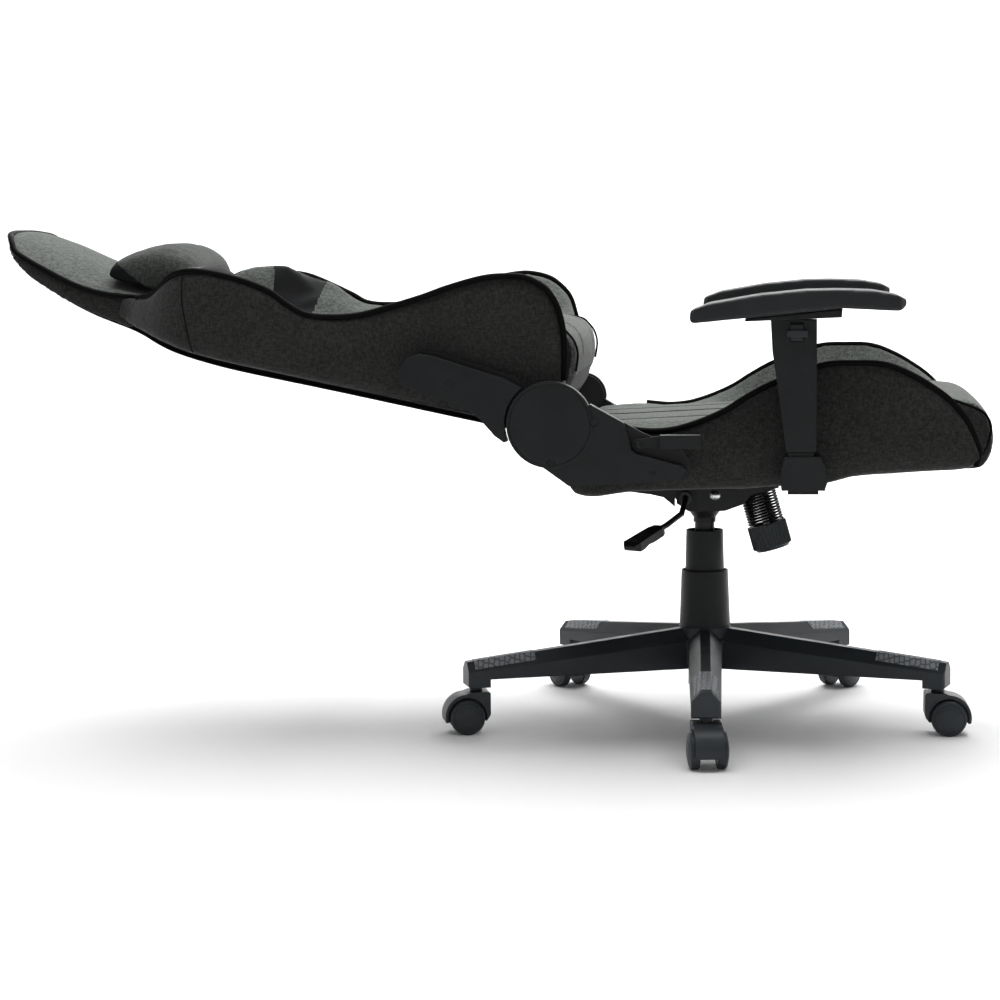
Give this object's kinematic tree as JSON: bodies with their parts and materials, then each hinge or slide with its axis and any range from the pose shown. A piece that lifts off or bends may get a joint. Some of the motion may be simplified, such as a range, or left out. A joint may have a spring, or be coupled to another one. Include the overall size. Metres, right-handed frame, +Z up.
{
  "type": "gaming chair",
  "caption": "Racing-style swivel chair with reclined winged backrest, head pillow, height-adjustable armrests, tilt mechanism, gas lift and star base on twin-wheel casters.",
  "frame": {"origin": "on the floor, on the axis of the gas column, at the centre of the star base", "axes": "+X towards the front of the seat, +Y to the sitter's left, +Z up; the backrest lies reclined towards -X"},
  "size_m": [1.3709, 0.7137, 0.6981],
  "materials": {
    "nylon_black": "matt black glass-filled nylon, moulded",
    "rubber_grip": "soft black elastomer tread inserts",
    "steel_black": "black powder-coated pressed steel",
    "steel_zinc": "zinc-plated steel",
    "chrome_pin": "bright chromed steel",
    "gas_tube": "black lacquered steel tube",
    "cover_plastic": "fine-textured black polypropylene",
    "bush_white": "natural acetal",
    "spring_steel": "black coated spring wire",
    "fabric_center": "heathered grey woven upholstery, light warp",
    "fabric_side": "heathered charcoal woven upholstery",
    "webbing": "black elastic webbing",
    "back_cloth": "black moulded back shell under cloth",
    "arm_pu": "self-skinned black polyurethane foam"
  },
  "bodies": {
    "base": {"star_base": "nylon_black", "foot_grips": "rubber_grip", "caster_stems": "steel_black", "gas_stand_tube": "gas_tube", "guide_bush": "bush_white", "thrust_bearing": "steel_zinc", "cover_lower": "cover_plastic", "cover_upper": "cover_plastic"},
    "piston": {"piston_rod": "chrome_pin"},
    "lift": {"pressure_tube": "gas_tube", "mech_housing": "steel_black", "tilt_pins": "chrome_pin", "tension_spring": "spring_steel"},
    "pin": {"release_pin": "steel_zinc"},
    "lever_slide": {"lever_bush": "nylon_black"},
    "lever": {"height_lever": "steel_black", "lever_paddle": "cover_plastic"},
    "seat": {"seat_plate": "steel_black", "tension_bolt": "steel_zinc", "seat_bolts": "steel_zinc", "seat_frame": "steel_black", "seat_webbing": "webbing", "seat_cushion": "fabric_center", "seat_bolsters": "fabric_side", "recliner_seat_plates": "steel_black", "seat_hinge_covers": "cover_plastic", "cover_screws": "steel_black", "arm_brackets": "steel_black", "arm_sleeves": "cover_plastic"},
    "knob": {"tension_knob": "nylon_black"},
    "back": {"back_frame": "steel_black", "recliner_back_plates": "steel_black", "back_hinge_covers": "cover_plastic", "back_cushion": "fabric_center", "back_bolsters": "fabric_side", "back_panel": "back_cloth", "head_pillow": "fabric_center"},
    "recliner_handle": {"recline_lever": "cover_plastic"},
    "arm_left": {"arm_post_left": "cover_plastic", "arm_pad_left": "arm_pu"},
    "arm_right": {"arm_post_right": "cover_plastic", "arm_pad_right": "arm_pu"},
    "button_left": {"arm_button_left": "nylon_black"},
    "button_right": {"arm_button_right": "nylon_black"},
    "caster_1": {"caster_hood_1": "nylon_black"},
    "wheel_1a": {"caster_wheel_1a": "nylon_black"},
    "wheel_1b": {"caster_wheel_1b": "nylon_black"},
    "caster_2": {"caster_hood_2": "nylon_black"},
    "wheel_2a": {"caster_wheel_2a": "nylon_black"},
    "wheel_2b": {"caster_wheel_2b": "nylon_black"},
    "caster_3": {"caster_hood_3": "nylon_black"},
    "wheel_3a": {"caster_wheel_3a": "nylon_black"},
    "wheel_3b": {"caster_wheel_3b": "nylon_black"},
    "caster_4": {"caster_hood_4": "nylon_black"},
    "wheel_4a": {"caster_wheel_4a": "nylon_black"},
    "wheel_4b": {"caster_wheel_4b": "nylon_black"},
    "caster_5": {"caster_hood_5": "nylon_black"},
    "wheel_5a": {"caster_wheel_5a": "nylon_black"},
    "wheel_5b": {"caster_wheel_5b": "nylon_black"}
  },
  "joints": [
    {"name": "seat_swivel", "type": "hinge", "parent": "base", "child": "piston", "pos_m": [0, 0, 0.1], "axis": [0, 0, 1], "continuous": true},
    {"name": "seat_lift", "type": "slide", "parent": "piston", "child": "lift", "axis": [0, 0, 1], "range_m": [0, 0.08]},
    {"name": "tilt_unlock", "type": "slide", "parent": "lift", "child": "lever_slide", "axis": [0, -1, 0], "range_m": [0, 0.012]},
    {"name": "height_lever", "type": "hinge", "parent": "lever_slide", "child": "lever", "pos_m": [-0.025, 0, 0.322], "axis": [0, 1, 0], "range_deg": [0, 8], "stiffness_Nm_per_rad": 4, "springref_deg": -11.46},
    {"name": "release_pin", "type": "slide", "parent": "lift", "child": "pin", "axis": [0, 0, 1], "range_m": [-0.0036, 0]},
    {"name": "seat_tilt", "type": "hinge", "parent": "lift", "child": "seat", "pos_m": [0.016, 0, 0.326], "axis": [0, -1, 0], "range_deg": [0, 12], "stiffness_Nm_per_rad": 320, "springref_deg": -20.05, "deforming": ["tension_spring"]},
    {"name": "tension_knob", "type": "hinge", "parent": "seat", "child": "knob", "pos_m": [0.092, 0, 0.264], "axis": [-0.2689, 0, 0.9632], "range_deg": [-540, 540]},
    {"name": "back_recline", "type": "hinge", "parent": "seat", "child": "back", "pos_m": [-0.1932, 0, 0.4444], "axis": [0, 1, 0], "range_deg": [0, 72.6]},
    {"name": "recline_handle", "type": "hinge", "parent": "seat", "child": "recliner_handle", "pos_m": [-0.078, 0, 0.417], "axis": [0, -1, 0], "range_deg": [0, 20], "stiffness_Nm_per_rad": 3, "springref_deg": -11.46},
    {"name": "arm_height_left", "type": "slide", "parent": "seat", "child": "arm_left", "axis": [0, 0, 1], "range_m": [0, 0.07]},
    {"name": "arm_height_right", "type": "slide", "parent": "seat", "child": "arm_right", "axis": [0, 0, 1], "range_m": [0, 0.07]},
    {"name": "arm_button_left", "type": "slide", "parent": "arm_left", "child": "button_left", "axis": [0, 0, 1], "range_m": [0, 0.004], "stiffness_N_per_m": 600, "springref_m": -0.003},
    {"name": "arm_button_right", "type": "slide", "parent": "arm_right", "child": "button_right", "axis": [0, 0, 1], "range_m": [0, 0.004], "stiffness_N_per_m": 600, "springref_m": -0.003},
    {"name": "caster_swivel_1", "type": "hinge", "parent": "base", "child": "caster_1", "pos_m": [0.01173, -0.3358, 0.06], "axis": [0, 0, 1], "continuous": true},
    {"name": "wheel_spin_1a", "type": "hinge", "parent": "caster_1", "child": "wheel_1a", "pos_m": [0.014, -0.35012, 0.0245], "axis": [0.9877, 0.1564, 0], "continuous": true},
    {"name": "wheel_spin_1b", "type": "hinge", "parent": "caster_1", "child": "wheel_1b", "pos_m": [0.014, -0.35012, 0.0245], "axis": [0.9877, 0.1564, 0], "continuous": true},
    {"name": "caster_swivel_2", "type": "hinge", "parent": "base", "child": "caster_2", "pos_m": [0.32298, -0.09261, 0.06], "axis": [0, 0, 1], "continuous": true},
    {"name": "wheel_spin_2a", "type": "hinge", "parent": "caster_2", "child": "wheel_2a", "pos_m": [0.33748, -0.09236, 0.0245], "axis": [-0.0175, 0.9998, 0], "continuous": true},
    {"name": "wheel_spin_2b", "type": "hinge", "parent": "caster_2", "child": "wheel_2b", "pos_m": [0.33748, -0.09236, 0.0245], "axis": [-0.0175, 0.9998, 0], "continuous": true},
    {"name": "caster_swivel_3", "type": "hinge", "parent": "base", "child": "caster_3", "pos_m": [0.18789, 0.27856, 0.06], "axis": [0, 0, 1], "continuous": true},
    {"name": "wheel_spin_3a", "type": "hinge", "parent": "caster_3", "child": "wheel_3a", "pos_m": [0.196, 0.29058, 0.0245], "axis": [-0.829, 0.5592, 0], "continuous": true},
    {"name": "wheel_spin_3b", "type": "hinge", "parent": "caster_3", "child": "wheel_3b", "pos_m": [0.196, 0.29058, 0.0245], "axis": [-0.829, 0.5592, 0], "continuous": true},
    {"name": "caster_swivel_4", "type": "hinge", "parent": "base", "child": "caster_4", "pos_m": [-0.20686, 0.26477, 0.06], "axis": [0, 0, 1], "continuous": true},
    {"name": "wheel_spin_4a", "type": "hinge", "parent": "caster_4", "child": "wheel_4a", "pos_m": [-0.21579, 0.2762, 0.0245], "axis": [-0.788, -0.6157, 0], "continuous": true},
    {"name": "wheel_spin_4b", "type": "hinge", "parent": "caster_4", "child": "wheel_4b", "pos_m": [-0.21579, 0.2762, 0.0245], "axis": [-0.788, -0.6157, 0], "continuous": true},
    {"name": "caster_swivel_5", "type": "hinge", "parent": "base", "child": "caster_5", "pos_m": [-0.31574, -0.11492, 0.06], "axis": [0, 0, 1], "continuous": true},
    {"name": "wheel_spin_5a", "type": "hinge", "parent": "caster_5", "child": "wheel_5a", "pos_m": [-0.32974, -0.11867, 0.0245], "axis": [0.2588, -0.9659, 0], "continuous": true},
    {"name": "wheel_spin_5b", "type": "hinge", "parent": "caster_5", "child": "wheel_5b", "pos_m": [-0.32974, -0.11867, 0.0245], "axis": [0.2588, -0.9659, 0], "continuous": true}
  ],
  "couplings": [
    {"joint": "release_pin", "follows": "height_lever", "m_per_rad": -0.0258}
  ]
}
